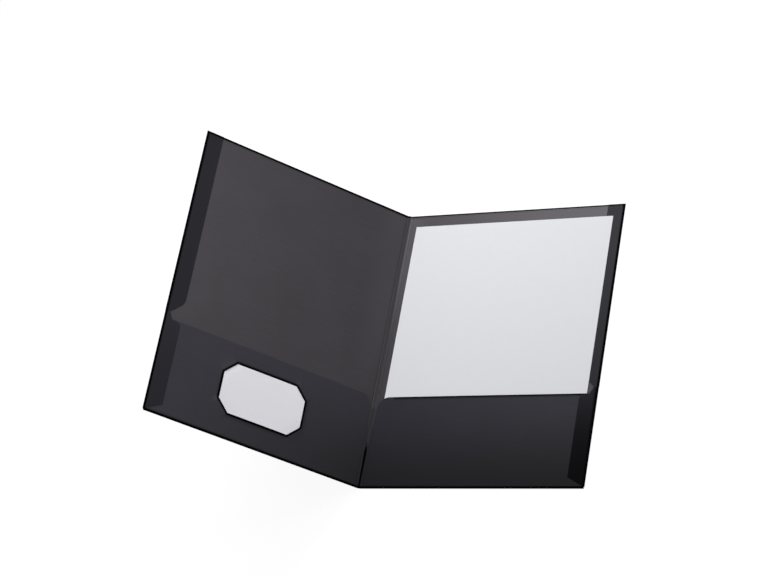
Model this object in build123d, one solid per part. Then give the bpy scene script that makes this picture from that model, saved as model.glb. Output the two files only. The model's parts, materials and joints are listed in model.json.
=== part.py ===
# A two pocket folder of embossed cover stock, lying open on its back cover with the front cover raised.
# Each side is first laid out flat: X runs from the spine score to the outer edge, Y runs up from the
# bottom edge, and Z runs from the outside face of the cover towards its inside.
from build123d import *
import math
import os

# Stock, glue and clearances, in millimetres
STOCK = 0.36                  # thickness of the cover stock
GLUE_FILM = 0.08              # thickness of a glue film
GLUE_MARGIN = 1.5             # bare border round a glue film
SCORE_GAP = 0.04              # play between a cover's edge and the rounded edge of the spine strip
SHEET_CLEARANCE = 0.07        # play above and below the letter sheet
CARD_CLEARANCE = 0.04         # play between the business card and the pocket panel
SLIT_CLEARANCE = 0.1          # play between the card's bent corner and the edges of its slit
CLOSED_GAP = 1.2              # play between the two pocket flaps when the folder is shut

# Letter sheet and its margins inside a cover
SHEET_WIDTH = 215.9
SHEET_HEIGHT = 279.4
SHEET_THICKNESS = 0.1
SHEET_INSET = 7.8             # from the spine score to the sheet
SHEET_SIDE_MARGIN = 11.3       # from the sheet to the outer edge
SHEET_LIFT = 9.2              # from the bottom edge to the sheet
SHEET_TOP_MARGIN = 13.0       # from the sheet to the top edge

# Rest position of the front cover
REST_OPENING = 124.0          # degrees between the insides of the two covers

# Edge strip, turned in along the outer edge: a hem above the notch and a pocket flap below it
STRIP_WIDTH = 18.3
NOTCH_RISE = 6.4              # height of the notch above the pocket's top edge
NOTCH_NECK = 4.8              # width of the strip left at the notch
HEM_CUT_ANGLE = 45.0          # degrees of the hem's slanted lower end
HEM_CORNER_RADIUS = 12.0
FLAP_DROP = 1.0               # from the pocket's top edge down to the flap's
FLAP_SHOULDER = 4.0           # run of the flap's slanted top end
FLAP_CORNER_RADIUS = 5.0
FLAP_START = 1.8              # from the bottom edge to the flap's outer end
FLAP_MITRE = 9.5              # rise of the flap's slanted bottom end

# Pocket panels
POCKET_HEIGHT = 97.0
POCKET_SETBACK = 0.4          # from the cover's scored edge to the pocket, at the bottom
POCKET_TAPER = 2.2            # how far the pocket's inner edge leans outwards by the top
POCKET_CORNER_RADIUS = 12.0

# Business card on the front pocket, each corner tucked through a slit
CARD_WIDTH = 88.9
CARD_HEIGHT = 50.8
CARD_THICKNESS = 0.3
CARD_RAISE = 3.3              # height of the card's middle above the pocket's middle
CARD_TUCK = 12.2              # length that each corner loses on both of its edges
SLIT_WIDTH = 0.9
SLIT_END = 1.5                # length of the slit beyond the card at each end

# Cover size
cover_width = SHEET_INSET + SHEET_WIDTH + SHEET_SIDE_MARGIN
cover_height = SHEET_LIFT + SHEET_HEIGHT + SHEET_TOP_MARGIN

# Heights of the layers above the outside face of a cover
hem_back = STOCK + GLUE_FILM
hem_front = hem_back + STOCK
sheet_back = hem_front + SHEET_CLEARANCE
pocket_back = sheet_back + SHEET_THICKNESS + SHEET_CLEARANCE
pocket_front = pocket_back + STOCK
flap_back = pocket_front + GLUE_FILM
flap_front = flap_back + STOCK
card_back = pocket_front + CARD_CLEARANCE
card_front = card_back + CARD_THICKNESS
corner_front = pocket_back - CARD_CLEARANCE
corner_back = corner_front - CARD_THICKNESS

# Outer radii of the folds, each as high as the layers that it joins
hem_fold_radius = hem_front / 2
pocket_fold_radius = pocket_front / 2
flap_fold_radius = flap_front / 2

# Lines shared by the pieces of one side
score_edge = STOCK / 2 + SCORE_GAP
pocket_edge = score_edge + POCKET_SETBACK
strip_edge = cover_width - STRIP_WIDTH
hem_line = cover_width - hem_fold_radius
flap_line = cover_width - flap_fold_radius
neck_line = cover_width - NOTCH_NECK
notch_height = POCKET_HEIGHT + NOTCH_RISE
hem_corner_height = notch_height + (STRIP_WIDTH - NOTCH_NECK) * math.tan(math.radians(HEM_CUT_ANGLE))
flap_top = POCKET_HEIGHT - FLAP_DROP
flap_corner_height = FLAP_START + FLAP_MITRE
card_middle = ((pocket_edge + cover_width) / 2, POCKET_HEIGHT / 2 + CARD_RAISE)

# Spine: wide enough for both pockets to lie between the shut covers
spine_width = 2 * flap_front + CLOSED_GAP - STOCK
rest_bend = (180.0 - REST_OPENING) / 2
score_axis = Axis((0, 0, STOCK / 2), (0, 1, 0))


def plate(outline, back, front):
    """A flat piece of the given outline between two heights."""
    return extrude(Plane.XY.offset(back) * outline, amount=front - back)


def rectangle(left, bottom, right, top):
    """An upright rectangle between two corners."""
    return Pos((left + right) / 2, (bottom + top) / 2) * Rectangle(right - left, top - bottom)


def polygon(*points):
    """A closed outline through the points."""
    return make_face(Polyline(*points, close=True))


def rounded(outline, corner, radius):
    """The outline with the vertex nearest to a corner rounded."""
    vertex = outline.vertices().sort_by_distance(corner)[0]
    return fillet(vertex, radius)


def half_disc(radius):
    """Section of a fold pressed flat, bulging towards +X from the origin."""
    arc = ThreePointArc((0, 0), (radius, radius), (0, 2 * radius))
    return make_face(arc + Line(arc @ 1, arc @ 0))


def half_ring(radius):
    """Section of a fold that stands open by one stock thickness all round, bulging towards +X."""
    outer = ThreePointArc((0, 0), (radius, radius), (0, 2 * radius))
    inner = ThreePointArc((0, 2 * radius - STOCK), (radius - STOCK, radius), (0, STOCK))
    return make_face(outer + Line(outer @ 1, inner @ 0) + inner + Line(inner @ 1, outer @ 0))


def edge_fold(section, line, bottom, top):
    """A fold along the outer edge, its flat side on the given line."""
    plane = Plane(origin=(line, bottom, 0), x_dir=(1, 0, 0), z_dir=(0, -1, 0))
    return extrude(plane * section, amount=bottom - top)


def cover_panel():
    outline = polygon(
        (score_edge, 0), (pocket_edge, 0), (pocket_edge, pocket_fold_radius),
        (flap_line, pocket_fold_radius), (flap_line, notch_height), (hem_line, notch_height),
        (hem_line, cover_height), (score_edge, cover_height),
    )
    return plate(outline, 0, STOCK)


def edge_hem():
    corner = (strip_edge, hem_corner_height)
    outline = polygon(
        (hem_line, notch_height), (hem_line, cover_height), (strip_edge, cover_height),
        corner, (neck_line, notch_height),
    )
    return plate(rounded(outline, corner, HEM_CORNER_RADIUS), hem_back, hem_front)


def hem_glue():
    outline = rectangle(
        strip_edge + GLUE_MARGIN, hem_corner_height + GLUE_MARGIN, hem_line, cover_height - GLUE_MARGIN
    )
    return plate(outline, STOCK, hem_back)


def hem_fold():
    return edge_fold(half_disc(hem_fold_radius), hem_line, notch_height, cover_height)


def pocket_panel():
    corner = (pocket_edge + POCKET_TAPER, POCKET_HEIGHT)
    outline = polygon(
        (pocket_edge, pocket_fold_radius), (flap_line, pocket_fold_radius), (flap_line, POCKET_HEIGHT), corner
    )
    return plate(rounded(outline, corner, POCKET_CORNER_RADIUS), pocket_back, pocket_front)


def pocket_fold():
    plane = Plane(origin=(pocket_edge, pocket_fold_radius, 0), x_dir=(0, -1, 0), z_dir=(-1, 0, 0))
    return extrude(plane * half_ring(pocket_fold_radius), amount=pocket_edge - flap_line)


def pocket_flap():
    corner = (strip_edge, flap_top)
    outline = polygon(
        (flap_line, FLAP_START), (flap_line, notch_height), (neck_line, notch_height),
        (neck_line - FLAP_SHOULDER, flap_top), corner, (strip_edge, flap_corner_height),
    )
    return plate(rounded(outline, corner, FLAP_CORNER_RADIUS), flap_back, flap_front)


def flap_glue():
    outline = rectangle(
        strip_edge + GLUE_MARGIN, flap_corner_height + GLUE_MARGIN, flap_line, flap_top - FLAP_CORNER_RADIUS
    )
    return plate(outline, pocket_front, flap_back)


def flap_fold():
    return edge_fold(half_ring(flap_fold_radius), flap_line, FLAP_START, notch_height)


def card_corners():
    """The four corners of the card: the directions towards each and the middle of its slit."""
    for across in (-1, 1):
        for up in (-1, 1):
            middle_x = card_middle[0] + across * (CARD_WIDTH - CARD_TUCK) / 2
            middle_y = card_middle[1] + up * (CARD_HEIGHT - CARD_TUCK) / 2
            yield across, up, middle_x, middle_y


def slit_pocket_panel():
    """The front pocket, cut by a diagonal slit for each corner of the card."""
    panel = pocket_panel()
    slit_length = CARD_TUCK * math.sqrt(2) + 2 * SLIT_END
    for across, up, middle_x, middle_y in card_corners():
        slit = Pos(middle_x, middle_y) * Rot(0, 0, -45 * across * up) * Rectangle(slit_length, SLIT_WIDTH)
        panel -= plate(slit, pocket_back, pocket_front)
    return panel


def business_card():
    """The card lies on the pocket, and each corner bends through its slit to lie behind the panel."""
    half_run = SLIT_WIDTH / 2 - SLIT_CLEARANCE
    whole = Pos(*card_middle) * Rectangle(CARD_WIDTH, CARD_HEIGHT)
    flat_part = chamfer(whole.vertices(), CARD_TUCK + half_run * math.sqrt(2))
    card = plate(flat_part, card_back, card_front)
    outline_block = plate(whole, corner_back, card_front)
    bend = polygon(
        (-half_run, card_back), (-half_run, card_front), (half_run, corner_front), (CARD_TUCK, corner_front),
        (CARD_TUCK, corner_back), (half_run, corner_back),
    )
    for across, up, middle_x, middle_y in card_corners():
        plane = Plane(origin=(middle_x, middle_y, 0), x_dir=(across, up, 0), z_dir=(up, -across, 0))
        strip = extrude(plane * bend, amount=CARD_TUCK, both=True)
        card += strip & outline_block
    return card


def letter_sheet():
    outline = rectangle(
        SHEET_INSET, SHEET_LIFT, SHEET_INSET + SHEET_WIDTH, SHEET_LIFT + SHEET_HEIGHT
    )
    return plate(outline, sheet_back, sheet_back + SHEET_THICKNESS)


def spine_strip():
    """The strip between the two scores, flat, with its rounded edges centred on the score axes."""
    section = Pos(-spine_width / 2, STOCK / 2) * SlotCenterToCenter(spine_width, STOCK)
    plane = Plane(origin=(0, 0, 0), x_dir=(1, 0, 0), z_dir=(0, -1, 0))
    return extrude(plane * section, amount=-cover_height)


def on_back(piece):
    """Places a flat piece of the back side, with the origin under the middle of the back cover."""
    return Pos(-cover_width / 2, -cover_height / 2, 0) * piece


def on_spine(piece):
    """Turns the spine strip up about the back score."""
    return on_back(piece.rotate(score_axis, rest_bend))


def on_front(piece):
    """Mirrors a flat piece to the front side, turns it up and carries it to the front score."""
    turned = mirror(piece, about=Plane.YZ).rotate(score_axis, 2 * rest_bend)
    run = spine_width * math.cos(math.radians(rest_bend))
    rise = spine_width * math.sin(math.radians(rest_bend))
    return on_back(Pos(-run, 0, rise) * turned)


side_pieces = {
    "cover": cover_panel(),
    "edge_hem": edge_hem(),
    "hem_fold": hem_fold(),
    "hem_glue": hem_glue(),
    "pocket": pocket_panel(),
    "pocket_fold": pocket_fold(),
    "pocket_flap": pocket_flap(),
    "flap_fold": flap_fold(),
    "flap_glue": flap_glue(),
}

nodes = {"spine_strip": on_spine(spine_strip()), "letter_sheet": on_back(letter_sheet())}
for name, piece in side_pieces.items():
    nodes["back_" + name] = on_back(piece)
    nodes["front_" + name] = on_front(piece)
nodes["front_pocket"] = on_front(slit_pocket_panel())
nodes["business_card"] = on_front(business_card())

os.makedirs("parts", exist_ok=True)
for name, piece in nodes.items():
    export_step(piece, f"parts/{name}.step")

print(f"cover {cover_width:.2f} x {cover_height:.2f} mm, spine {spine_width:.2f} mm")
print(f"layers up to {flap_front:.2f} mm, each score bent {rest_bend:.1f} degrees at rest")
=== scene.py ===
# The looks of an open two pocket folder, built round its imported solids: scored and folded sheets of
# linen-embossed stock, a letter sheet, a business card, a pale floor, studio light and the camera.
import json
import math
from types import SimpleNamespace

import bmesh
import bpy
import numpy as np
from mathutils import Matrix, Quaternion, Vector
from mathutils.geometry import delaunay_2d_cdt


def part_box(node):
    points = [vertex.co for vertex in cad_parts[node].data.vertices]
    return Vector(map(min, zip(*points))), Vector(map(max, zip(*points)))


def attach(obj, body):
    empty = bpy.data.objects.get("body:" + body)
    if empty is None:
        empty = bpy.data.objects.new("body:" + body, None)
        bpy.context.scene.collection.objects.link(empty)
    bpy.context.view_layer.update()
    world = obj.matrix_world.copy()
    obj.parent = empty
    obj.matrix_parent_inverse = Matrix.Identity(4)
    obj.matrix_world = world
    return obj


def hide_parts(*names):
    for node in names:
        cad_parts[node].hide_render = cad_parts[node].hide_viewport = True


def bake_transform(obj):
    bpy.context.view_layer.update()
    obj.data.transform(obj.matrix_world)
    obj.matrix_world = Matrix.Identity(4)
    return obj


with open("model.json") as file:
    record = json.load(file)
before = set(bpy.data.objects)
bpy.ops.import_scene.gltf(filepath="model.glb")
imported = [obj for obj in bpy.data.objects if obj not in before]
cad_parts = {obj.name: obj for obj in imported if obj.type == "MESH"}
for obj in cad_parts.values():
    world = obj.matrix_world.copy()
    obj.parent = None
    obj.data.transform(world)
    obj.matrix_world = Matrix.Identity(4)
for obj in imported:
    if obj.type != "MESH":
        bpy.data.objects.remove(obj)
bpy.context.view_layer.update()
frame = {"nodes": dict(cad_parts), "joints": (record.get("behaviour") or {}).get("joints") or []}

MM = 0.001                      # in metres, the frame's unit

# Mesh fineness
GRID_STEP = 4.0 * MM            # between the points inside a sheet
CARD_STEP = 2.0 * MM            # and inside the card
RIM_STEP = 2.5 * MM             # between the points along a rim
SCORE_STEP = 0.25 * MM          # between the columns across a score
LIP_STEP = 1.2 * MM             # between the points of a row along the lips of a slit
LIP_ROWS = [                    # distances of those rows from the slit, positive towards the card's corner
    row * MM for row in (-8.5, -6.5, -4.5, -3.0, -1.8, -0.9, 0.9, 1.8, 3.0, 4.5, 6.5)
]
ARC_STEPS = 10                  # along a rounded corner or round a fold
TURN_ROUNDS = 20                # of working out how far the stock has turned beside a score
LINE_CLEARANCE = 0.3 * MM       # from a rim or crease to the nearest loose point
MERGE_DISTANCE = 0.0001 * MM    # within which two points become one
SLIVER = 0.0001 * MM            # height under which a triangle is only a rounding error
BAND_TOLERANCE = 0.02 * MM      # by which the points along a dark line may miss its rim
SHARP_ANGLE = math.radians(50)  # between two faces, from which their edge stays sharp
WHOLE_HULL = 0                  # kind of triangulation that fills the space between all of its points

# Cut shapes that the boxes of the solids don't tell
NOTCH_NECK = 4.8 * MM           # width of the edge strip left at the notch
HEM_CORNER_RADIUS = 12.0 * MM
FLAP_DROP = 1.0 * MM            # from the pocket's top edge down to the flap's
FLAP_SHOULDER = 4.0 * MM        # run of the flap's slanted top end
FLAP_CORNER_RADIUS = 5.0 * MM
FLAP_MITRE = 9.5 * MM           # rise of the flap's slanted bottom end
POCKET_TAPER = 2.2 * MM         # how far the pocket's inner edge leans outwards by the top
POCKET_CORNER_RADIUS = 12.0 * MM
LAP_LOW = 1.5 * MM              # how far the pocket laps over the spine at the bottom
LAP_HIGH = 0.7 * MM             # and at the height where its inner edge turns outwards
LAP_HEIGHT = 46.0 * MM
GAP_TOP = 52.0 * MM             # height at which the painted shade in the gap between the laps ends in a point
GAP_TAPER = 20.0 * MM           # length of that point
CARD_THICKNESS = 0.3 * MM
CARD_TUCK = 12.2 * MM           # length that each corner of the card loses on both of its edges
CARD_RIM = 1.2 * MM             # from the card to the middle of the painted shade line round it
SLIT_WIDTH = 0.9 * MM
SLIT_END = 1.5 * MM             # length of the slit beyond the card at each end

# Bends and swells of the sheets
SCORE_ZONE = 1.7 * MM           # to each side of a score, where the stock turns
BOW_POWER = 1.5                 # power of the height by which a pocket's panel stands off its cover
BOW_BY_SPINE = 0.6              # share of that bow beside the spine
BOW_SPINE_RUN = 0.4             # share of the panel's width over which it grows from the spine
BOW_FLAP_RUN = 0.45             # and over which it falls off to the flap
LIP_RISE = 0.55 * MM            # how far a slit's outer lip stands up over the card's corner
LIP_DIP = 0.3 * MM              # how far its inner lip sinks under the card
LIP_RISE_REACH = 6.0 * MM
LIP_DIP_REACH = 5.0 * MM
LIP_END_POWER = 12              # how suddenly both end at the ends of the slit
CARD_GAP = 0.02 * MM            # between the card and the pocket
CARD_DROP = 0.243 * MM          # how far the card sinks towards a slit
CARD_DROP_REACH = 8.0 * MM
CARD_CORNER_SLOPE = 0.05        # further fall of the card's corner beyond its slit
WAVE_HEIGHT = 0.04 * MM         # unevenness of the letter sheet
WAVE_ACROSS = 31.0 * MM         # run of one radian of that wave across the sheet
WAVE_UP = 43.0 * MM             # and up the sheet
WAVE_SHIFT = 1.0                # its phase at the bottom

# Painted shade and light: dark lines along edges and round the card, dark flaps and spine, light by the
# spine
FOLD_BAND = 2.4 * MM            # half width of the painted shade line along folded outer edges
CUT_BAND = 1.4 * MM             # and along cut edges
CARD_BAND = 1.2 * MM            # and round the card
SHADE_LINE_FADE = 1.0 * MM            # over which a painted shade line fades into the stock
FLAP_SHADE_POWER = 2.5          # power of the height by which the flaps come out of the painted shade below
SHADE_FADE = 2.0 * MM           # over which the painted shade of the dark spine fades into the covers
SPINE_LIGHT_RISE = 100.0 * MM           # height over which the painted light beside the spine comes up and the painted dark spine's fade moves

# What differs between the two sides
BACK_LOOK = dict(
    has_card=False,
    bow=0.3 * MM,               # how far the mouth of the pocket stands off the cover
    top_band=CUT_BAND,          # half width of the painted shade line along the top edge
    pocket_shade=0.9,           # how much painted shade darkens the pocket towards its bottom
    shade_lean=-0.15,           # share by which it does so more by the spine and less by the flap
    fade_low=1.5 * MM,          # from the score to the end of the painted dark spine's fade, low down
    fade_high=-0.4 * MM,        # and high up
    rub=1.0,                    # how strongly painted light brightens the cover beside the spine
    rub_reach=25.0 * MM,        # from the score to where that ends
    rub_low=140.0 * MM,         # height at which it starts, and the fade starts to move
)
FRONT_LOOK = dict(
    has_card=True,
    bow=0.8 * MM,
    top_band=2.2 * MM,
    pocket_shade=0.43,
    shade_lean=1.15,
    fade_low=1.9 * MM,
    fade_high=1.9 * MM,
    rub=0.55,
    rub_reach=40.0 * MM,
    rub_low=90.0 * MM,
)

# Linen pattern of the stock
THREAD_PITCH = 0.55 * MM
THREAD_LENGTH = 7.0 * MM
THREAD_DETAIL = 2.0             # octaves of the noise that the threads are made of
THREAD_RELIEF = 0.05 * MM
THREAD_BUMP = 0.5               # strength of that relief
WEFT_SHARE = 0.5                # of the weft in the threads, beside the warp
STREAK_LENGTH = 28.0 * MM
STREAK_WIDTH = 1.1 * MM
MOTTLE_SIZE = 45.0 * MM
GRAIN_DETAIL = 3.0
STREAK_SHARE = 0.4              # shares of streaks, mottling and threads in the grain of the colour
MOTTLE_SHARE = 0.4
THREAD_SHARE = 0.2
GRAIN_LOW = 0.38                # levels of the grain that show as the darkest and the lightest tone
GRAIN_HIGH = 0.62
SHEEN_TINT = (0.94, 0.91, 0.965, 1)  # colour of the gloss

# Tones of the stock: its darkest and lightest grain, its edge tone, towards which painted shade darkens it,
# and, where painted light brightens it, its highlight
NEUTRAL = (1.0, 1.0, 1.0)
CHARCOAL = (1.0, 0.9, 1.08)     # a grey with a touch of violet
NEAR_BLACK = (1.0, 0.95, 1.3)   # a grey with a touch of blue
STOCKS = {
    "inside": dict(tint=CHARCOAL, dark=0.02, light=0.028, edge=0.003, gloss=0.3, roughness=0.38, highlight=0.05),
    "cover": dict(tint=CHARCOAL, dark=0.02, light=0.028, edge=0.014, gloss=0.3, roughness=0.38),
    "outside": dict(tint=NEAR_BLACK, dark=0.009, light=0.013, edge=0.003, gloss=0.095, roughness=0.42),
    # The pockets and flaps take the hems' stock, with tone and gloss set per piece and side to copy how
    # light falls on each: lit and shaded copies
    "pocket_front": dict(tint=NEAR_BLACK, dark=0.0205, light=0.0245, edge=0.002, gloss=0.19, roughness=0.42),
    "pocket_back": dict(tint=NEAR_BLACK, dark=0.02, light=0.024, edge=0.001, gloss=0.117, roughness=0.42),
    "flap_back": dict(tint=NEAR_BLACK, dark=0.019, light=0.023, edge=0.0005, gloss=0.027, roughness=0.45),
    "flap_front": dict(tint=NEAR_BLACK, dark=0.014, light=0.018, edge=0.011, gloss=0.106, roughness=0.42),
    # darker stocks that paint shade: on the spine between the pockets, and on the rims, the dark lines and
    # the gap between the laps
    "spine": dict(tint=NEAR_BLACK, dark=0.007, light=0.01, edge=0.008, gloss=0.19, roughness=0.42),
    "edge": dict(tint=NEAR_BLACK, dark=0.001, light=0.003, edge=0.001, gloss=0.01, roughness=0.6),
}

# White papers and glue
CLOUD_SIZE = 9.0 * MM
CLOUD_DETAIL = 4.0
CLOUD_SHARE = 0.6               # of the clouds in the tone of a paper, beside its fibres
FIBRE_LENGTH = 0.9 * MM
FIBRE_WIDTH = 0.35 * MM
FIBRE_DETAIL = 3.0
FIBRE_BUMP = 0.3                # strength of their relief
PAPER_GLOSS = 0.2
LETTER_PAPER = dict(
    dark=(0.735, 0.74, 0.77, 1), light=(0.775, 0.78, 0.81, 1), roughness=0.75, relief=0.02 * MM,
)
CARD_PAPER = dict(
    dark=(0.845, 0.845, 0.885, 1), light=(0.885, 0.885, 0.925, 1), roughness=0.6, relief=0.01 * MM,
)
GLUE_GRAIN = 2.5 * MM
GLUE_DETAIL = 3.0
GLUE_DARK = (0.62, 0.58, 0.46, 1)
GLUE_LIGHT = (0.8, 0.78, 0.7, 1)
GLUE_ROUGHNESS = 0.35

# Floor, world and lamps
FLOOR_SIZE = 30.0
FLOOR_DROP = 0.08 * MM
FLOOR_LEVEL = 0.8               # brightness with which the floor throws light back at the folder
FLOOR_SHADOW = 0.18             # share of the floor's look that its shadows can take away
FLOOR_SHOWN = 1.04              # brightness at which the floor shows where nothing shades it
FLOOR_LIGHT = 0.75              # how brightly the lamps and the world light it there
WORLD_LEVEL = 0.35              # brightness with which the world lights the folder
WORLD_SHOWN = 1.0               # and at which it shows
LAMP_AIM = Vector((-0.1, 0.08, 0.05))
LAMP_SPREAD = math.radians(100)  # narrow enough that the light fades beyond the folder
LAMPS = {                       # with their power in watts
    "key": dict(place=(-0.24, 0.7, 0.8), size=0.45, power=2.22),
    "fill": dict(place=(0.79, 0.55, 0.75), size=0.5, power=1.32),
}

# Camera
CAMERA_AIM = Vector((-0.13474, 0.06948, 0))
CAMERA_DISTANCE = 2.32359
CAMERA_AZIMUTH = math.radians(47.7792)
CAMERA_ELEVATION = math.radians(51.9855)
CAMERA_ROLL = math.radians(43.537)
CAMERA_LENS = 106.78            # in millimetres, as is the sensor's width
SENSOR_WIDTH = 36.0

# Scores, spine and rest bend, from the joints
joints = {joint["name"]: joint for joint in frame["joints"]}
back_score = Vector(joints["back_score"]["pos_m"])
front_score = Vector(joints["front_score"]["pos_m"])
spine_run = front_score - back_score
spine_half = spine_run.length / 2
rest_bend = math.atan2(spine_run.z, -spine_run.x)
half_stock = back_score.z       # because the scores lie in the middle of the stock
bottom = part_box("back_cover")[0].y
front_out = Vector((-math.cos(2 * rest_bend), 0, math.sin(2 * rest_bend)))
front_up = Vector((math.sin(2 * rest_bend), 0, math.cos(2 * rest_bend)))
score_end = Vector((-SCORE_ZONE * math.cos(rest_bend), SCORE_ZONE * math.sin(rest_bend)))
flat_start = 2 * SCORE_ZONE     # from a score to where no layer of the stock turns any more


def on_back(u, v, w):
    """A point of the back side: u from its score outwards, v up from the bottom, w above its outside."""
    return Vector((back_score.x + u, bottom + v, w))


def on_front(u, v, w):
    """The same on the front side, which is the mirror image turned up about the spine."""
    score = Vector((front_score.x, bottom + v, front_score.z))
    return score + front_out * u + front_up * (w - half_stock)


def back_box(node):
    """Lowest and highest u, v and w of a node of the back side."""
    low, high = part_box(node)
    origin = on_back(0, 0, 0)
    return low - origin, high - origin


def front_box(node):
    """Lowest and highest u, v and w of a node of the front side."""
    points = []
    for vertex in frame["nodes"][node].data.vertices:
        offset = vertex.co - on_front(0, 0, 0)
        points.append((offset.dot(front_out), offset.y, offset.dot(front_up)))
    return Vector(np.min(points, axis=0)), Vector(np.max(points, axis=0))


back_side = SimpleNamespace(label="back", body="back_side", place=on_back, **BACK_LOOK)
front_side = SimpleNamespace(label="front", body="front_side", place=on_front, **FRONT_LOOK)

# Lines and layers shared by both sides
hem_low, hem_high = back_box("back_edge_hem")
pocket_low, pocket_high = back_box("back_pocket")
flap_low, flap_high = back_box("back_pocket_flap")
sheet_low, sheet_high = back_box("letter_sheet")
card_low, card_high = front_box("business_card")
cover_height = back_box("back_cover")[1].y
cover_width = back_box("back_hem_fold")[1].x
hem_line = hem_high.x
flap_line = flap_high.x
strip_edge = hem_low.x
notch_height = hem_low.y
neck_line = cover_width - NOTCH_NECK
hem_corner_height = notch_height + neck_line - strip_edge
fold_line = pocket_low.y
pocket_edge = pocket_low.x
pocket_height = pocket_high.y
flap_bottom = flap_low.y
flap_top = pocket_height - FLAP_DROP
flap_corner_height = flap_bottom + FLAP_MITRE
hem_fold_radius = hem_high.z / 2
pocket_fold_radius = pocket_high.z / 2
flap_fold_radius = flap_high.z / 2
sheet_box = (sheet_low.x, sheet_low.y, sheet_high.x, sheet_high.y)
card_box = (card_low.x, card_low.y, card_high.x, card_high.y)
card_middle = (card_low + card_high) / 2
card_half = Vector((card_high - card_low).xy) / 2


# Ramps, lines and outlines on the flat sheet

def smooth(t):
    """A ramp from 0 to 1 that starts and ends level."""
    t = min(max(t, 0.0), 1.0)
    return t * t * (3 - 2 * t)


def rectangle(left, low, right, high):
    """The corners of a box."""
    return [(left, low), (right, low), (right, high), (left, high)]


def chamfered(left, low, right, high, cut, margin):
    """The outline of a box with slanted corners, moved outwards by a margin."""
    cut += margin * (2 - math.sqrt(2))
    left, low, right, high = left - margin, low - margin, right + margin, high + margin
    return [
        (left + cut, low), (right - cut, low), (right, low + cut), (right, high - cut),
        (right - cut, high), (left + cut, high), (left, high - cut), (left, low + cut),
    ]


def rounded(before, corner, after, radius):
    """Points of an arc that rounds the corner between two neighbouring points."""
    corner = Vector(corner)
    to_before = (Vector(before) - corner).normalized()
    to_after = (Vector(after) - corner).normalized()
    half_angle = to_before.angle(to_after) / 2
    reach = radius / math.tan(half_angle)
    centre = corner + (to_before + to_after).normalized() * radius / math.sin(half_angle)
    start = corner + to_before * reach - centre
    turn = (corner + to_after * reach - centre).angle_signed(start)
    spokes = [Matrix.Rotation(turn * i / ARC_STEPS, 2) @ start for i in range(ARC_STEPS + 1)]
    return [tuple(centre + spoke) for spoke in spokes]


def divided(line, step):
    """The open line with its long edges divided."""
    points = []
    for a, b in zip(line, line[1:]):
        count = max(1, math.ceil(math.dist(a, b) / step))
        points += [tuple(Vector(a).lerp(Vector(b), i / count)) for i in range(count)]
    return points + [tuple(line[-1])]


def closed(loop):
    """The loop as a line that ends where it starts."""
    return loop + loop[:1]


def beside(line, gap):
    """A copy of an open line, moved sideways."""
    points = np.array(divided(line, RIM_STEP))
    along = np.gradient(points, axis=0)
    across = np.stack([-along[:, 1], along[:, 0]], 1) / np.hypot(*along.T)[:, None]
    return [tuple(point) for point in points + gap * across]


def bands(shade_lines):
    """Creases along both sides of the lines of painted shade."""
    return [beside(line, gap) for line, band in shade_lines for gap in (-band, band)]


def upright_lines(columns, low, high):
    """Lines up the sheet at the given distances from the score."""
    return [[(s, low), (s, high)] for s in columns]


def spread(low, high, step):
    """Evenly spaced numbers from low to high, no further apart than step."""
    return np.linspace(low, high, max(2, math.ceil((high - low) / step) + 1))


def inside(points, loop):
    """Whether each point lies inside a closed loop."""
    found = np.zeros(len(points), bool)
    x, y = points.T
    for (ax, ay), (bx, by) in zip(loop, loop[1:] + loop[:1]):
        crossed = (ay > y) != (by > y)
        if by != ay:
            found ^= crossed & (x < ax + (bx - ax) * (y - ay) / (by - ay))
    return found


def distance(points, line):
    """Distance of each point from an open line of points."""
    nearest = np.full(len(points), np.inf)
    for a, b in zip(np.array(line[:-1]), np.array(line[1:])):
        run = b - a
        share = np.clip((points - a) @ run / (run @ run), 0, 1)
        nearest = np.minimum(nearest, np.hypot(*(points - a - share[:, None] * run).T))
    return nearest


# Triangles that fill an outline

def crease_lines(crease, outline):
    """The short lines of a crease that lie inside an outline."""
    line = np.array(divided(crease, GRID_STEP))
    kept = inside((line[1:] + line[:-1]) / 2, outline)
    return [pair for pair, keep in zip(zip(line[:-1], line[1:]), kept) if keep]


def triangulated(lines, loose):
    """Points and triangles between lines, which become edges, and loose points."""
    edges = []
    first = 0
    for line in lines:
        edges += [(first + i, first + i + 1) for i in range(len(line) - 1)]
        first += len(line)
    flat = [Vector(point) / MM for line in [*lines, loose] for point in line]
    points, _, faces, _, _, _ = delaunay_2d_cdt(flat, edges, [], WHOLE_HULL, MERGE_DISTANCE / MM)
    return np.array([tuple(point) for point in points]) * MM, np.array(faces)


def real_triangles(corners):
    """Whether each triangle is more than a rounding error."""
    runs = np.roll(corners, -1, axis=1) - corners
    double_areas = np.abs(runs[:, 0, 0] * runs[:, 1, 1] - runs[:, 0, 1] * runs[:, 1, 0])
    longest_runs = np.linalg.norm(runs, axis=2).max(axis=1)
    return double_areas > SLIVER * longest_runs


def fill(outline, columns, rows, creases=(), holes=(), extra=()):
    """Points and triangles that fill an outline, with edges along its rims and creases, and a grid."""
    lines = [divided(closed(loop), RIM_STEP) for loop in [outline, *holes]]
    for crease in creases:
        lines += crease_lines(crease, outline)
    loose = np.array([(s, v) for s in columns for v in rows] + list(extra))
    for line in lines:
        loose = loose[distance(loose, line) > LINE_CLEARANCE]
    points, faces = triangulated(lines, loose)
    middles = points[faces].mean(axis=1)
    kept = real_triangles(points[faces]) & inside(middles, outline)
    for hole in holes:
        kept &= ~inside(middles, hole)
    used, faces = np.unique(faces[kept], return_inverse=True)
    return points[used], [tuple(face) for face in faces.reshape(-1, 3).tolist()]


# Thin closed pieces

# The third material serves the rim and paints shade in the dark lines; the last, a darker one, paints shade
# by the spine.
UPPER, LOWER, RIM_AND_SHADE, SHADED_BY_SPINE = range(4)  # a sheet's materials, the last for its upper face by the spine


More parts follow.
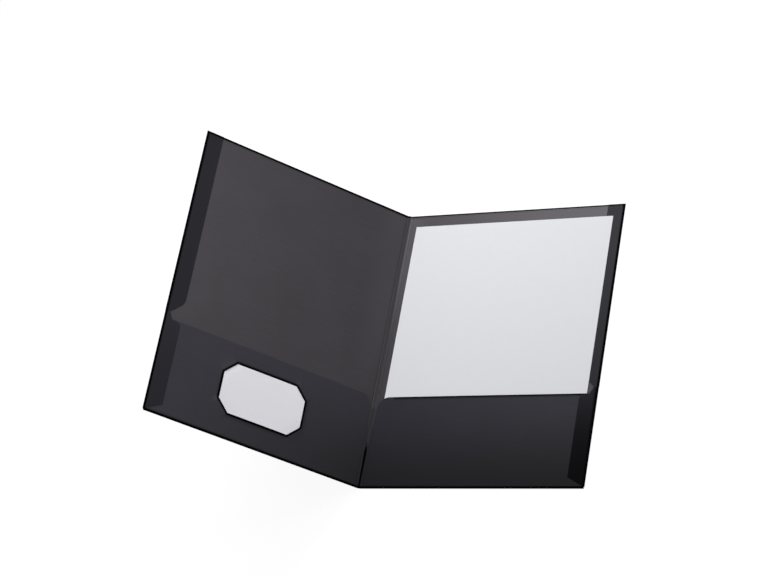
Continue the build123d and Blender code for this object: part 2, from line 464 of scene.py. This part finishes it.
def sheet_mesh(name, filled, shape, half_thickness):
    """A closed mesh with its upper faces first, then its lower faces and its rim."""
    points, triangles = filled
    count = len(points)
    places = [shape(s, v, half_thickness) for s, v in points]
    places += [shape(s, v, -half_thickness) for s, v in points]
    edges = [(a, b) for face in triangles for a, b in zip(face, face[1:] + face[:1])]
    known = set(edges)
    rim = [(a, b) for a, b in edges if (b, a) not in known]
    faces = triangles + [tuple(i + count for i in reversed(face)) for face in triangles]
    faces += [(a + count, b + count, b, a) for a, b in rim]
    mesh = bpy.data.meshes.new(name)
    mesh.from_pydata(places, [], faces)
    mesh.polygons.foreach_set("use_smooth", [True] * len(faces))
    return mesh


def set_slots(mesh, filled, beyond, upper_slot):
    """Gives each face its material: the edge stock's on the rim and inside the lines of painted shade."""
    points, triangles = filled
    corners = np.array(triangles)
    count = len(corners)
    dark = (beyond[corners] < BAND_TOLERANCE).all(axis=1)
    slots = np.full(len(mesh.polygons), RIM_AND_SHADE, np.int32)
    upper = [upper_slot(s, v) for s, v in points[corners].mean(axis=1)]
    slots[:count] = np.where(dark, RIM_AND_SHADE, upper)
    slots[count:2 * count] = np.where(dark, RIM_AND_SHADE, LOWER)
    mesh.polygons.foreach_set("material_index", slots)


def set_developed(mesh, points):
    """Keeps the flat sheet's points as the mesh's UV map."""
    flat = mesh.uv_layers.new(name="developed")
    corners = np.zeros(len(mesh.loops), int)
    mesh.loops.foreach_get("vertex_index", corners)
    flat.data.foreach_set("uv", points[corners % len(points)].astype(np.float32).ravel())


def set_values(mesh, name, values):
    """Keeps a number for each of the flat sheet's points, on both faces."""
    layer = mesh.attributes.new(name, "FLOAT", "POINT")
    layer.data.foreach_set("value", np.tile(values, 2).astype(np.float32))


def turn_faces_out(mesh):
    """Makes all faces look outwards."""
    solid = bmesh.new()
    solid.from_mesh(mesh)
    bmesh.ops.recalc_face_normals(solid, faces=solid.faces)
    solid.to_mesh(mesh)
    solid.free()


def all_upper(s, v):
    """The material of an upper face that is the same all over."""
    return UPPER


def sheet_piece(name, filled, shape, half_thickness, materials, shade_lines=(), shade=None, painted_light=None,
                upper_slot=all_upper):
    """A thin sheet, drawn flat: s runs from the score outwards along the stock, v up from the bottom.

    Shape carries a point s, v and an offset from the middle layer to its place on the folder. The lines of
    painted shade come with the half width of their dark bands. At a point, shade tells how much painted
    shade darkens the stock, the argument after it how much painted light brightens it, and upper_slot which
    of the materials the upper face has.
    """
    points, _ = filled
    mesh = sheet_mesh(name, filled, shape, half_thickness)
    for material in materials:
        mesh.materials.append(material)
    beyond = np.full(len(points), np.inf)
    for line, band in shade_lines:
        beyond = np.minimum(beyond, distance(points, line) - band)
    set_slots(mesh, filled, beyond, upper_slot)
    set_developed(mesh, points)
    # share of painted shade: from the dark lines along the edges, and from the piece's own painted shade
    shade_share = np.clip(1 - beyond / SHADE_LINE_FADE, 0, 1)
    if shade:
        shade_share = np.maximum(shade_share, [shade(s, v) for s, v in points])
    set_values(mesh, "painted_shade", shade_share)
    # painted light beside the spine
    if painted_light:
        set_values(mesh, "painted_light", [painted_light(s, v) for s, v in points])
    turn_faces_out(mesh)
    mesh.set_sharp_from_angle(angle=SHARP_ANGLE)
    piece = bpy.data.objects.new(name, mesh)
    bpy.context.scene.collection.objects.link(piece)
    return piece


# Folds and scores

def fold_length(radius):
    """Length of the stock's middle layer round a half turn of the given outside radius."""
    return math.pi * (radius - half_stock)


def fold_columns(line, radius):
    """Places of the creases that round a fold, from its start to just before its end."""
    return line + fold_length(radius) * np.linspace(0, 1, ARC_STEPS, endpoint=False)


def folded(s, offset, line, radius):
    """Distance and height of a sheet that is flat up to a line, turns back there and runs on below."""
    middle = radius - half_stock
    beyond = s - line
    if beyond <= 0:
        return s, radius + middle + offset
    if beyond <= math.pi * middle:
        turn = beyond / middle
        return line + (middle + offset) * math.sin(turn), radius + (middle + offset) * math.cos(turn)
    return line - (beyond - math.pi * middle), half_stock - offset


def strip_shape(side, line, radius):
    """The shape of a strip that is turned in along an outer edge."""
    def shape(s, v, offset):
        across, up = folded(s, offset, line, radius)
        return side.place(across, v, up)
    return shape


def turned(s, offset):
    """Place across the score, at rest, of a sheet that turns smoothly from the cover to the spine."""
    if s > flat_start:
        return s, offset
    start = Vector((SCORE_ZONE, 0))
    run = score_end - start
    weight = smooth((SCORE_ZONE - s) / (2 * SCORE_ZONE))
    place = Vector((s, offset))
    for _ in range(TURN_ROUNDS):
        turn = weight * rest_bend
        place = Vector((
            s * math.cos(turn) + offset * math.sin(turn),
            offset * math.cos(turn) - s * math.sin(turn),
        ))
        weight = smooth((place - start).dot(run) / run.length_squared)
    return place


def score_creases(edge, low, high):
    """Creases across a score, from an edge on the spine to where the stock is flat."""
    return upright_lines(spread(edge, flat_start, SCORE_STEP)[1:], low, high)


def follow_spine(piece, side):
    """Bakes a piece's place into its mesh; nothing makes it turn with the score."""
    start = side.place(SCORE_ZONE, 0, half_stock)
    end = side.place(score_end.x, 0, half_stock + score_end.y)
    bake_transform(piece)


# Shader helpers

MIX_A, MIX_B, MIX_RESULT = 6, 7, 2  # a mix node's sockets for colours, whose names are not unique


def new_material(name):
    """A new material with its node tree and shader."""
    material = bpy.data.materials.new(name)
    material.use_nodes = True
    tree = material.node_tree
    return material, tree, tree.nodes["Principled BSDF"]


def add_node(tree, kind, inputs, **settings):
    """A node with its settings made and its inputs set to numbers or linked to sockets."""
    made = tree.nodes.new(kind)
    for key, value in settings.items():
        setattr(made, key, value)
    for key, value in inputs.items():
        if isinstance(value, bpy.types.NodeSocket):
            tree.links.new(value, made.inputs[key])
        else:
            made.inputs[key].default_value = value
    return made


def compute(tree, operation, a, b):
    """The result of an operation on two sockets or numbers."""
    return add_node(tree, "ShaderNodeMath", {0: a, 1: b}, operation=operation).outputs[0]


def weighted_sum(tree, *terms):
    """The sum of sockets, each times its share."""
    total, *others = [compute(tree, "MULTIPLY", socket, share) for socket, share in terms]
    for product in others:
        total = compute(tree, "ADD", total, product)
    return total


def toned(tint, level):
    """A tint at a level of brightness, as an opaque colour."""
    return (*(level * share for share in tint), 1)


def blend_colours(tree, share, a, b):
    """A colour between a and b, by the share of b."""
    inputs = {"Factor": share, MIX_A: a, MIX_B: b}
    return add_node(tree, "ShaderNodeMix", inputs, data_type="RGBA").outputs[MIX_RESULT]


def painted(tree, name):
    """A number that is kept at the mesh's points."""
    return add_node(tree, "ShaderNodeAttribute", {}, attribute_name=name).outputs["Fac"]


def stretched_noise(tree, across, up, detail):
    """Noise on the developed sheet, with grains of the given width and height."""
    place = add_node(tree, "ShaderNodeUVMap", {}, uv_map="developed").outputs["UV"]
    scale = {"Vector": place, "Scale": (1 / across, 1 / up, 1)}
    scaled = add_node(tree, "ShaderNodeMapping", scale).outputs["Vector"]
    inputs = {"Vector": scaled, "Scale": 1.0, "Detail": detail}
    return add_node(tree, "ShaderNodeTexNoise", inputs).outputs["Fac"]


def set_relief(tree, shader, height, strength, depth):
    """Raises the surface a little where the height is large."""
    bump = add_node(tree, "ShaderNodeBump", {"Height": height, "Strength": strength, "Distance": depth})
    tree.links.new(bump.outputs["Normal"], shader.inputs["Normal"])


# Linen-embossed cover stock

def linen_stock(name, tint, dark, light, edge, gloss, roughness, highlight=None):
    """Stock pressed with a linen pattern: crossed threads, faint streaks, soft mottling; with painted shade
    and light.
    """
    material, tree, shader = new_material(name)
    weft = stretched_noise(tree, THREAD_LENGTH, THREAD_PITCH, THREAD_DETAIL)
    warp = stretched_noise(tree, THREAD_PITCH, THREAD_LENGTH, THREAD_DETAIL)
    threads = weighted_sum(tree, (weft, WEFT_SHARE), (warp, 1 - WEFT_SHARE))
    streaks = stretched_noise(tree, STREAK_LENGTH, STREAK_WIDTH, GRAIN_DETAIL)
    mottle = stretched_noise(tree, MOTTLE_SIZE, MOTTLE_SIZE, GRAIN_DETAIL)
    grain = weighted_sum(tree, (streaks, STREAK_SHARE), (mottle, MOTTLE_SHARE), (threads, THREAD_SHARE))
    levels = {"Value": grain, "From Min": GRAIN_LOW, "From Max": GRAIN_HIGH}
    share = add_node(tree, "ShaderNodeMapRange", levels).outputs["Result"]
    colour = blend_colours(tree, share, toned(tint, dark), toned(tint, light))
    # painted light brightens the stock towards its highlight tone
    if highlight:
        colour = blend_colours(tree, painted(tree, "painted_light"), colour, toned(tint, highlight))
    # painted shade darkens the stock towards its edge tone
    colour = blend_colours(tree, painted(tree, "painted_shade"), colour, toned(tint, edge))
    tree.links.new(colour, shader.inputs["Base Color"])
    shader.inputs["Roughness"].default_value = roughness
    shader.inputs["Specular IOR Level"].default_value = gloss
    shader.inputs["Specular Tint"].default_value = SHEEN_TINT
    set_relief(tree, shader, threads, THREAD_BUMP, THREAD_RELIEF)
    return material


# White papers and glue

def paper(name, dark, light, roughness, relief):
    """Paper with a faint cloudy formation and fine fibres."""
    material, tree, shader = new_material(name)
    cloud = stretched_noise(tree, CLOUD_SIZE, CLOUD_SIZE, CLOUD_DETAIL)
    fibre = stretched_noise(tree, FIBRE_LENGTH, FIBRE_WIDTH, FIBRE_DETAIL)
    share = weighted_sum(tree, (cloud, CLOUD_SHARE), (fibre, 1 - CLOUD_SHARE))
    tree.links.new(blend_colours(tree, share, dark, light), shader.inputs["Base Color"])
    shader.inputs["Roughness"].default_value = roughness
    shader.inputs["Specular IOR Level"].default_value = PAPER_GLOSS
    set_relief(tree, shader, fibre, FIBRE_BUMP, relief)
    return material


def glue_film(name):
    """Dried glue, brushed on: uneven, yellowish and a little shiny."""
    material, tree, shader = new_material(name)
    place = add_node(tree, "ShaderNodeTexCoord", {}).outputs["Object"]
    grain = {"Vector": place, "Scale": 1 / GLUE_GRAIN, "Detail": GLUE_DETAIL}
    brushed = add_node(tree, "ShaderNodeTexNoise", grain).outputs["Fac"]
    colour = blend_colours(tree, brushed, GLUE_DARK, GLUE_LIGHT)
    tree.links.new(colour, shader.inputs["Base Color"])
    shader.inputs["Roughness"].default_value = GLUE_ROUGHNESS
    return material


stocks = {name: linen_stock("stock_" + name, **settings) for name, settings in STOCKS.items()}
letter_paper = paper("sheet_paper", **LETTER_PAPER)
card_paper = paper("card_paper", **CARD_PAPER)
glue = glue_film("glue")


# Covers with half of the spine each

def cover_piece(side):
    """A cover with painted shade along its top edge and by the spine, and painted light beside the spine."""
    outline = [
        (-spine_half, 0), (-LAP_LOW, 0), (-LAP_LOW, fold_line), (flap_line, fold_line),
        (flap_line, cover_height), (-spine_half, cover_height),
    ]
    columns = spread(flat_start, flap_line, GRID_STEP)
    rows = spread(0, cover_height, GRID_STEP)
    # a line of painted shade along the top edge
    shade_lines = [([(-spine_half, cover_height), (flap_line, cover_height)], side.top_band)]
    creases = score_creases(-spine_half, 0, cover_height) + bands(shade_lines)
    # the edge and spine stocks paint shade in the gap between the laps and on the spine below the pockets'
    # mouths
    materials = [stocks["inside"], stocks["cover"], stocks["edge"], stocks["spine"]]

    def risen(v):
        return smooth((v - side.rub_low) / SPINE_LIGHT_RISE)

    # painted shade: the spine darkened, fading into the cover at a place that moves with height
    def shade(s, v):
        fade_end = side.fade_low + (side.fade_high - side.fade_low) * risen(v)
        return smooth((fade_end - s) / SHADE_FADE)

    # painted light beside the spine, coming up with height
    def painted_light(s, v):
        return side.rub * smooth(1 - s / side.rub_reach) * risen(v)

    # painted shade below the pockets' mouths: the darker spine stock, and the edge stock in a pointed gap
    # between the laps
    def upper_slot(s, v):
        if s > 0 or v > pocket_height - POCKET_CORNER_RADIUS:
            return UPPER
        gap = (spine_half - LAP_HIGH) * smooth((GAP_TOP - v) / GAP_TAPER)
        return RIM_AND_SHADE if s + spine_half < gap else SHADED_BY_SPINE

    def shape(s, v, offset):
        across, up = turned(s, offset)
        return side.place(across, v, half_stock + up)

    filled = fill(outline, columns, rows, creases)
    name = side.label + "_cover_sheet"
    piece = sheet_piece(name, filled, shape, half_stock, materials, shade_lines, shade, painted_light, upper_slot)
    follow_spine(piece, side)
    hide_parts(side.label + "_cover", "spine_strip")


# Turned-in edge hems

def hem_piece(side):
    """A hem, cut slanting at the notch, that runs round the outer edge and meets the cover below."""
    top = (strip_edge, cover_height)
    corner = (strip_edge, hem_corner_height)
    cut_end = (neck_line, notch_height)
    fold_end = hem_line + fold_length(hem_fold_radius)
    far = fold_end + hem_line - flap_line
    cut = rounded(top, corner, cut_end, HEM_CORNER_RADIUS)
    outline = [top] + cut + [cut_end, (far, notch_height), (far, cover_height)]
    columns = spread(strip_edge, hem_line, GRID_STEP)
    rows = spread(notch_height, cover_height, GRID_STEP)
    crest = hem_line + fold_length(hem_fold_radius) / 2
    # lines of painted shade along the top edge and along the crest of the fold
    shade_lines = [
        ([top, (far, cover_height)], side.top_band),
        ([(crest, notch_height), (crest, cover_height)], FOLD_BAND),
    ]
    bends = [*fold_columns(hem_line, hem_fold_radius), fold_end]
    creases = upright_lines(bends, notch_height, cover_height) + bands(shade_lines)
    materials = [stocks["outside"], stocks["inside"], stocks["edge"]]
    shape = strip_shape(side, hem_line, hem_fold_radius)
    filled = fill(outline, columns, rows, creases)
    piece = sheet_piece(side.label + "_hem_sheet", filled, shape, half_stock, materials, shade_lines)
    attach(piece, side.body)
    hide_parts(side.label + "_edge_hem", side.label + "_hem_fold")


# Side flaps of the pockets

def flap_piece(side):
    """A flap with a slanted shoulder and a mitred bottom, darkened towards the bottom by painted shade."""
    neck = (neck_line, notch_height)
    shoulder = (neck_line - FLAP_SHOULDER, flap_top)
    corner = (strip_edge, flap_top)
    low_corner = (strip_edge, flap_corner_height)
    mitre_end = (flap_line, flap_bottom)
    far = flap_line + fold_length(flap_fold_radius)
    cut = [neck, shoulder] + rounded(shoulder, corner, low_corner, FLAP_CORNER_RADIUS) + [low_corner]
    outline = [(far, notch_height)] + cut + [mitre_end, (far, flap_bottom)]
    columns = spread(strip_edge, flap_line, GRID_STEP)
    rows = spread(flap_bottom, notch_height, GRID_STEP)
    crest = flap_line + fold_length(flap_fold_radius) / 2
    # a line of painted shade along the crest of the fold
    shade_lines = [([(crest, flap_bottom), (crest, notch_height)], FOLD_BAND)]
    bends = fold_columns(flap_line, flap_fold_radius)
    creases = upright_lines(bends, flap_bottom, notch_height) + bands(shade_lines)
    materials = [stocks["flap_" + side.label], stocks["inside"], stocks["edge"]]

    # painted shade, darker towards the bottom
    def shade(s, v):
        return 1 - (v / notch_height) ** FLAP_SHADE_POWER

    shape = strip_shape(side, flap_line, flap_fold_radius)
    filled = fill(outline, columns, rows, creases)
    piece = sheet_piece(side.label + "_flap_sheet", filled, shape, half_stock, materials, shade_lines, shade)
    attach(piece, side.body)
    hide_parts(side.label + "_pocket_flap", side.label + "_flap_fold")


# Slits for the card's corners

def card_corners():
    """The direction towards each corner of the card, with the middle of its slit."""
    for across in (-1, 1):
        for up in (-1, 1):
            direction = Vector((across, up)).normalized()
            middle = Vector((
                card_middle.x + across * (card_half.x - CARD_TUCK / 2),
                card_middle.y + up * (card_half.y - CARD_TUCK / 2),
            ))
            yield direction, middle


slits = list(card_corners())
slit_half = CARD_TUCK * math.sqrt(0.5) + SLIT_END


def slit_outline(direction, middle):
    """The four corners of a slit."""
    along = Vector((-direction.y, direction.x)) * slit_half
    across = direction * SLIT_WIDTH / 2
    corners = (along + across, along - across, -along - across, across - along)
    return [tuple(middle + corner) for corner in corners]


def slit_points(direction, middle):
    """Extra points round a slit, for the shape of its lips."""
    along = Vector((-direction.y, direction.x))
    for row in LIP_ROWS:
        for run in spread(-slit_half, slit_half, LIP_STEP):
            yield tuple(middle + along * run + direction * row)


def slit_lips(u, v):
    """Rise or dip of the front pocket's panel beside its slits."""
    change = 0
    for direction, middle in slits:
        offset = Vector((u, v)) - middle
        beyond = offset.dot(direction)
        along = abs(offset.cross(direction)) / slit_half
        if along < 1:
            height = LIP_RISE if beyond > 0 else -LIP_DIP
            reach = LIP_RISE_REACH if beyond > 0 else LIP_DIP_REACH
            change += height * math.exp(-((beyond / reach) ** 2)) * (1 - along ** LIP_END_POWER)
    return change


# Pockets, the front one slit for the card

pocket_far = fold_line - fold_length(pocket_fold_radius)  # the far rim of its fold, on the flat sheet


def bow(side, u, v):
    """How far a pocket's panel stands off its cover: most at the mouth, none at the bottom and the flap."""
    from_flap = smooth((strip_edge - u) / (BOW_FLAP_RUN * strip_edge))
    grown = smooth((u - pocket_edge) / (BOW_SPINE_RUN * strip_edge))
    from_spine = BOW_BY_SPINE + (1 - BOW_BY_SPINE) * grown
    return side.bow * from_flap * from_spine * max(v / pocket_height, 0) ** BOW_POWER


def pocket_outline():
    """The pocket's flat outline: its mouth, its inner edge and the far rim of its fold."""
    outer_top = (flap_line, pocket_height)
    inner_top = (pocket_edge + POCKET_TAPER, pocket_height)
    inner_bend = (-LAP_HIGH, LAP_HEIGHT)
    inner_low = (-LAP_LOW, fold_line)
    mouth = [outer_top] + rounded(outer_top, inner_top, inner_bend, POCKET_CORNER_RADIUS)
    return mouth + [inner_bend, inner_low, (-LAP_LOW, pocket_far), (flap_line, pocket_far)]


def pocket_shade_lines(side):
    """The lines of painted shade along the fold and round the card, or along the mouth in front of the
    letter sheet.
    """
    crest = fold_line - fold_length(pocket_fold_radius) / 2
    fold = [(-LAP_LOW, crest), (flap_line, crest)]
    if side.has_card:
        return [(fold, FOLD_BAND), (closed(chamfered(*card_box, CARD_TUCK, CARD_RIM)), CARD_BAND)]
    mouth = [(sheet_low.x + POCKET_CORNER_RADIUS, pocket_height), (sheet_high.x, pocket_height)]
    return [(fold, FOLD_BAND), (mouth, CUT_BAND)]


def pocket_piece(side):
    """A pocket that is folded up from the cover's bottom edge and laps over the spine."""
    columns = spread(flat_start, flap_line, GRID_STEP)
    rows = spread(fold_line, pocket_height, GRID_STEP)
    shade_lines = pocket_shade_lines(side)
    bends = 2 * fold_line - fold_columns(fold_line, pocket_fold_radius)
    creases = [[(-LAP_LOW, v), (flap_line, v)] for v in bends]
    creases += score_creases(-LAP_LOW, pocket_far, pocket_height) + bands(shade_lines)
    cuts = slits if side.has_card else []
    holes = [slit_outline(*cut) for cut in cuts]
    extra = [point for cut in cuts for point in slit_points(*cut)]
    # the outside stock on the lap is a less glossy one, painted shade by the spine
    materials = [stocks["pocket_" + side.label], stocks["inside"], stocks["edge"], stocks["outside"]]

    # painted shade: darker towards the bottom, more by the spine or by the flap, and darkest on the lap
    def shade(s, v):
        by_spine = 1 + side.shade_lean * (1 - 2 * s / strip_edge)
        return max(side.pocket_shade * by_spine * smooth(1 - v / pocket_height), smooth(-s / LAP_LOW))

    def upper_slot(s, v):
        return SHADED_BY_SPINE if s < 0 else UPPER

    def shape(s, v, offset):
        down, height = folded(-v, offset, -fold_line, pocket_fold_radius)
        if v > fold_line:
            height += bow(side, s, v) + (slit_lips(s, v) if side.has_card else 0)
        across, up = turned(s, height - half_stock)
        return side.place(across, -down, half_stock + up)

    filled = fill(pocket_outline(), columns, rows, creases, holes, extra)
    name = side.label + "_pocket_sheet"
    piece = sheet_piece(name, filled, shape, half_stock, materials, shade_lines, shade, upper_slot=upper_slot)
    follow_spine(piece, side)
    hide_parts(side.label + "_pocket", side.label + "_pocket_fold")


# Glue films, which keep their solids

def dress_glue(side):
    """Gives the glue under a side's hem and flap its material."""
    for film in ("_hem_glue", "_flap_glue"):
        solid = frame["nodes"][side.label + film]
        solid.data.materials.clear()
        solid.data.materials.append(glue)


# Business card, its corners behind the slits

def card_piece():
    """The card, which rests on the front pocket and sinks at its corners."""
    half_thickness = CARD_THICKNESS / 2
    resting = pocket_high.z + CARD_GAP + half_thickness
    columns = spread(card_low.x, card_high.x, CARD_STEP)
    rows = spread(card_low.y, card_high.y, CARD_STEP)
    materials = [card_paper, card_paper, card_paper]

    def shape(s, v, offset):
        inward = min((middle - Vector((s, v))).dot(direction) for direction, middle in slits)
        drop = CARD_DROP * (1 - smooth(inward / CARD_DROP_REACH))
        drop += CARD_CORNER_SLOPE * max(-inward, 0)
        return front_side.place(s, v, resting + bow(front_side, s, v) - drop + offset)

    filled = fill(rectangle(*card_box), columns, rows)
    piece = sheet_piece("business_card_paper", filled, shape, half_thickness, materials)
    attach(piece, "front_side")
    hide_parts("business_card")


# Letter sheet

def letter_piece():
    """The letter sheet in the back pocket, not quite flat."""
    half_thickness = (sheet_high.z - sheet_low.z) / 2
    middle = (sheet_low.z + sheet_high.z) / 2
    columns = spread(sheet_low.x, sheet_high.x, GRID_STEP)
    rows = spread(sheet_low.y, sheet_high.y, GRID_STEP)
    materials = [letter_paper, letter_paper, letter_paper]

    def shape(s, v, offset):
        wave = WAVE_HEIGHT * math.sin(s / WAVE_ACROSS) * math.sin(v / WAVE_UP + WAVE_SHIFT)
        return back_side.place(s, v, middle + wave + offset)

    filled = fill(rectangle(*sheet_box), columns, rows)
    piece = sheet_piece("letter_sheet_paper", filled, shape, half_thickness, materials)
    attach(piece, "sheet")
    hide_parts("letter_sheet")


# Floor, world and lamps

def shown_white(tree):
    """1 for rays from the camera, mirrored rays and rays that came through something clear, else 0."""
    rays = add_node(tree, "ShaderNodeLightPath", {}).outputs
    seen = compute(tree, "MAXIMUM", rays["Is Camera Ray"], rays["Is Glossy Ray"])
    return compute(tree, "MAXIMUM", seen, rays["Is Transmission Ray"])


def floor_material():
    """A pale floor that shows as white, with soft shadows, and lights the folder as a plain one does."""
    material = bpy.data.materials.new("floor")
    material.use_nodes = True
    tree = material.node_tree
    tree.nodes.clear()
    plain = add_node(tree, "ShaderNodeBsdfDiffuse", {"Color": toned(NEUTRAL, FLOOR_LEVEL)})
    shadowed = add_node(tree, "ShaderNodeBsdfDiffuse", {"Color": toned(NEUTRAL, FLOOR_SHADOW)})
    glow = add_node(tree, "ShaderNodeEmission", {"Strength": FLOOR_SHOWN - FLOOR_LIGHT * FLOOR_SHADOW})
    white = add_node(tree, "ShaderNodeAddShader", {0: shadowed.outputs[0], 1: glow.outputs[0]})
    inputs = {0: shown_white(tree), 1: plain.outputs[0], 2: white.outputs[0]}
    mixed = add_node(tree, "ShaderNodeMixShader", inputs)
    add_node(tree, "ShaderNodeOutputMaterial", {"Surface": mixed.outputs[0]})
    return material


def make_floor():
    """A wide floor just below the folder."""
    half = FLOOR_SIZE / 2
    mesh = bpy.data.meshes.new("floor")
    corners = [(x, y, -FLOOR_DROP) for x, y in rectangle(-half, -half, half, half)]
    mesh.from_pydata(corners, [], [(0, 1, 2, 3)])
    mesh.materials.append(floor_material())
    floor = bpy.data.objects.new("floor", mesh)
    bpy.context.scene.collection.objects.link(floor)


def make_world():
    """Even light from all sides that shows as white."""
    world = bpy.data.worlds.new("studio")
    bpy.context.scene.world = world
    world.use_nodes = True
    tree = world.node_tree
    levels = {"Value": shown_white(tree), "To Min": WORLD_LEVEL, "To Max": WORLD_SHOWN}
    level = add_node(tree, "ShaderNodeMapRange", levels)
    background = tree.nodes["Background"]
    background.inputs["Color"].default_value = toned(NEUTRAL, 1)
    tree.links.new(level.outputs["Result"], background.inputs["Strength"])


def make_lamp(name, place, size, power):
    """A square softbox that looks at the folder."""
    lamp = bpy.data.lights.new(name, "AREA")
    lamp.energy = power
    lamp.size = size
    lamp.spread = LAMP_SPREAD
    softbox = bpy.data.objects.new(name, lamp)
    softbox.location = place
    softbox.rotation_mode = "QUATERNION"
    softbox.rotation_quaternion = (LAMP_AIM - Vector(place)).to_track_quat("-Z", "Y")
    softbox.visible_camera = False
    bpy.context.scene.collection.objects.link(softbox)


# Camera

def make_camera():
    """The camera at the photograph's viewing angle."""
    data = bpy.data.cameras.new("camera")
    data.lens = CAMERA_LENS
    data.sensor_width = SENSOR_WIDTH
    camera = bpy.data.objects.new("camera", data)
    level = math.cos(CAMERA_ELEVATION)
    away = Vector((
        math.sin(CAMERA_AZIMUTH) * level, -math.cos(CAMERA_AZIMUTH) * level, math.sin(CAMERA_ELEVATION),
    ))
    camera.location = CAMERA_AIM + away * CAMERA_DISTANCE
    camera.rotation_mode = "QUATERNION"
    roll = Quaternion((0, 0, 1), -CAMERA_ROLL)
    camera.rotation_quaternion = (-away).to_track_quat("-Z", "Y") @ roll
    bpy.context.scene.collection.objects.link(camera)
    bpy.context.scene.camera = camera


# The folder, then the studio round it
for folder_side in (back_side, front_side):
    cover_piece(folder_side)
    hem_piece(folder_side)
    pocket_piece(folder_side)
    flap_piece(folder_side)
    dress_glue(folder_side)
card_piece()
letter_piece()
make_floor()
make_world()
for lamp_name, lamp_settings in LAMPS.items():
    make_lamp(lamp_name, **lamp_settings)
make_camera()
bpy.context.scene.view_settings.view_transform = "Standard"
